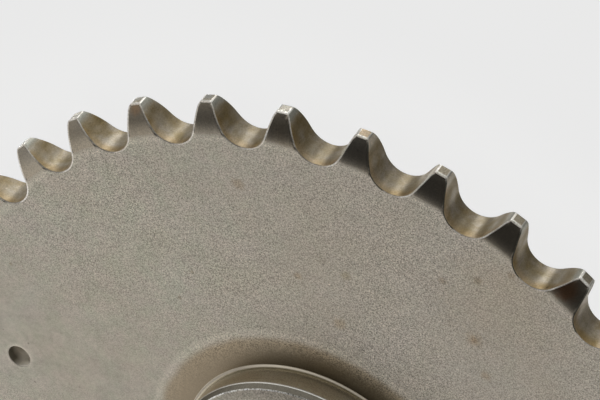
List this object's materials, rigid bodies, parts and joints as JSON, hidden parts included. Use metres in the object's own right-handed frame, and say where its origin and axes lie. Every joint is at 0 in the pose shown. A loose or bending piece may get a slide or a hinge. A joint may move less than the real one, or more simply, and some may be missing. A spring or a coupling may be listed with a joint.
{
  "type": "chain sprocket",
  "caption": "Steel roller-chain sprocket: a toothed plate with arc-relieved teeth, a short turned hub on one face, a plain bore and one small through hole.",
  "frame": {"origin": "on the bore's axis, in the plane of the flat back face that the sprocket lies on", "axes": "+Z along the bore and out of the hub end; +X through the middle of the tooth space that has the small hole inside it"},
  "size_m": [0.1426, 0.143, 0.0106],
  "materials": {
    "blasted_steel": "fine-blasted warm grey faces, smooth stained tooth flanks and a turned hub wall"
  },
  "bodies": {
    "root": {"sprocket": "blasted_steel"}
  },
  "joints": []
}
